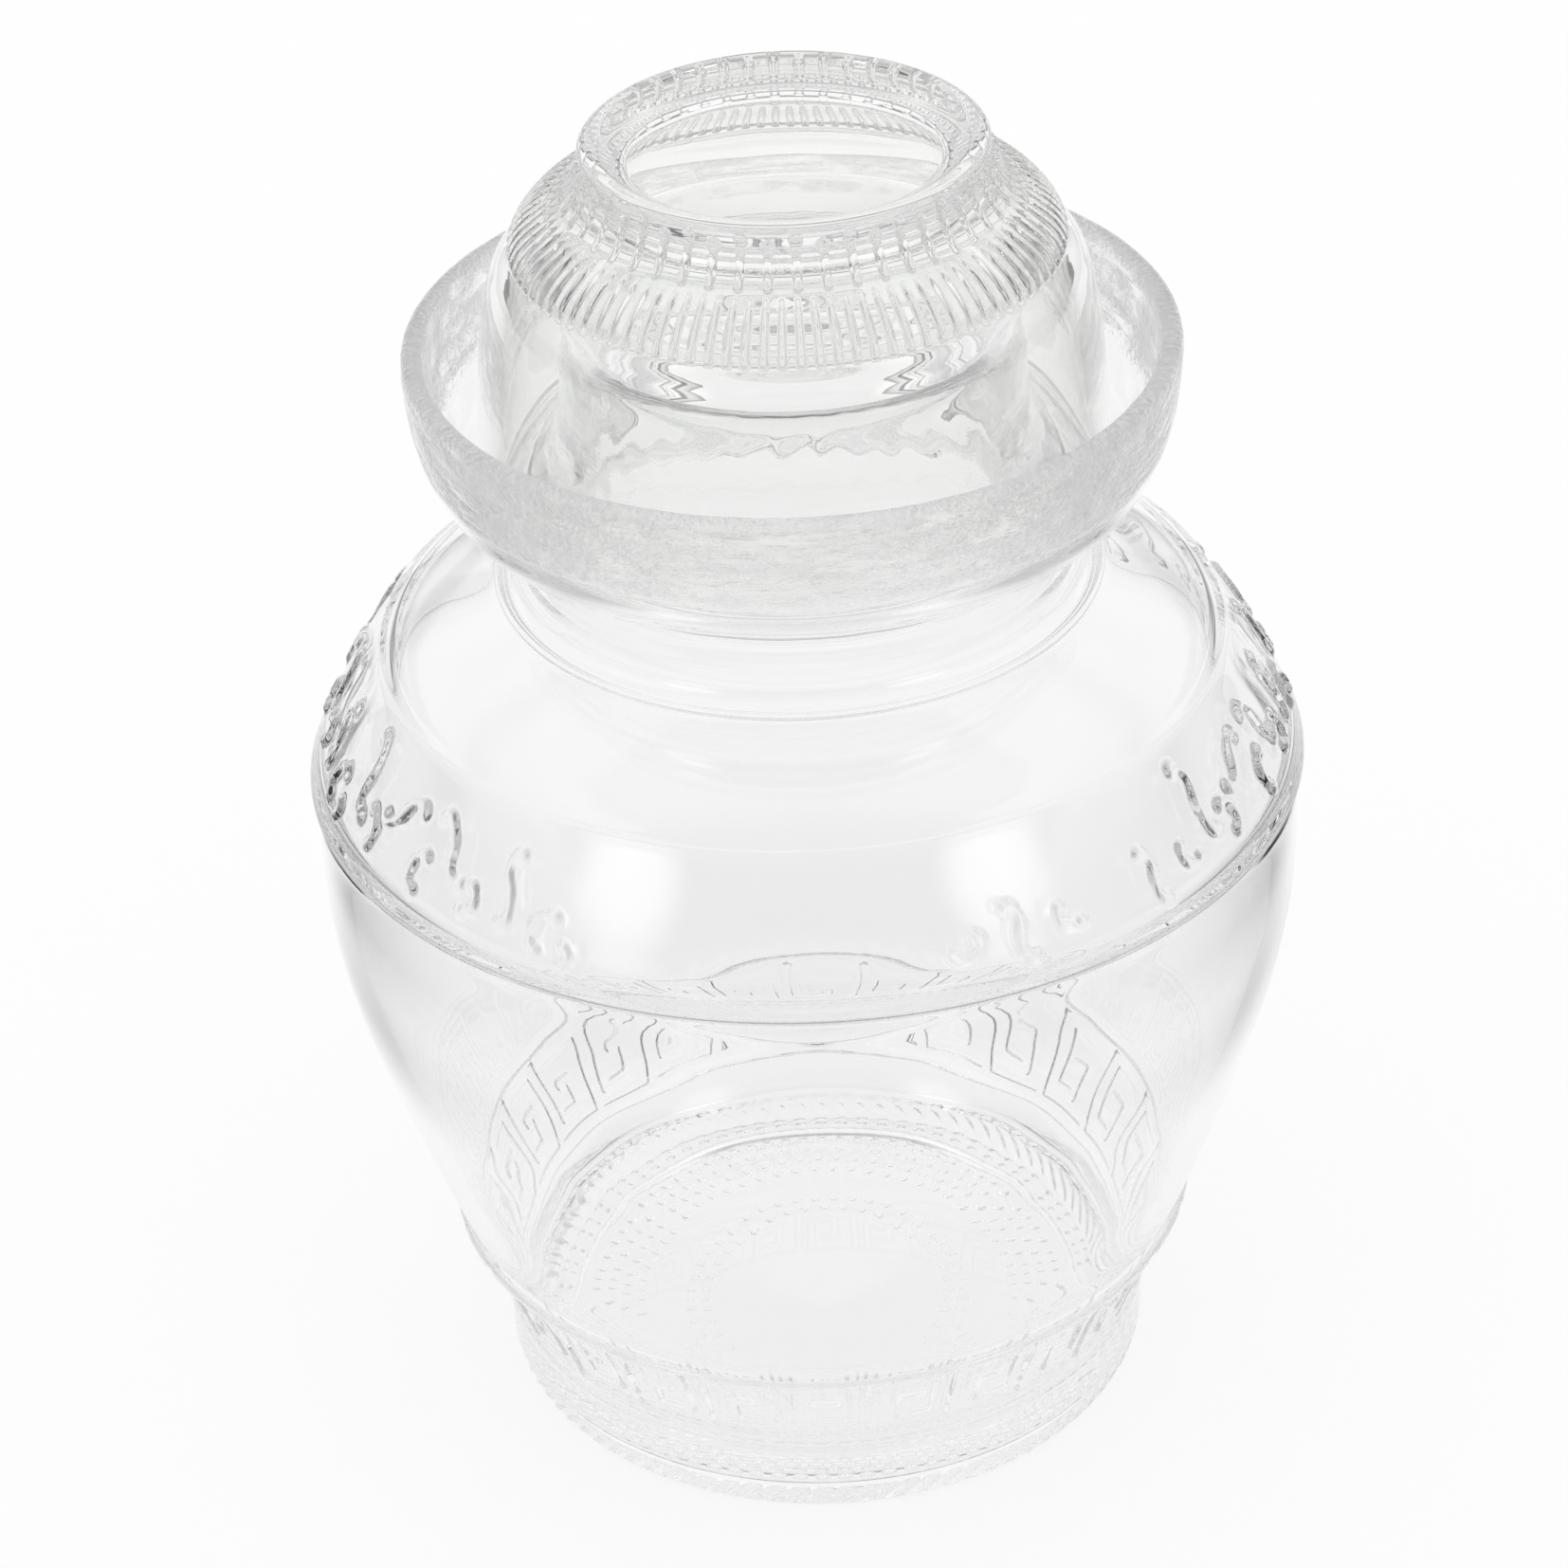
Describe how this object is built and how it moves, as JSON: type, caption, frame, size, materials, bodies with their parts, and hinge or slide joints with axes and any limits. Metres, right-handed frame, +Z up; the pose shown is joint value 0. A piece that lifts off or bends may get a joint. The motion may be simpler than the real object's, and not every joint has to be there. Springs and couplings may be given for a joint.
{
  "type": "glass pickling jar",
  "caption": "Clear glass pickling jar with a wide belly, a water-seal moat round its neck and a loose fluted bowl lid that stands in the moat.",
  "frame": {"origin": "the jar's axis where the base ring stands on the table", "axes": "+Z up along the jar's axis, -Y towards the side that the picture shows; the object is round, so X and Y have no other meaning"},
  "size_m": [0.2, 0.2, 0.2804],
  "materials": {
    "jar_glass": "clear blown glass, glossy",
    "lid_glass": "clear pressed glass with a faint grey-green tint, glossy"
  },
  "bodies": {
    "jar": {"jar": "jar_glass"},
    "lid": {"lid": "lid_glass"}
  },
  "joints": [
    {"name": "lid_lift", "type": "slide", "parent": "jar", "child": "lid", "axis": [0, 0, 1], "range_m": [0, 0.08]}
  ]
}
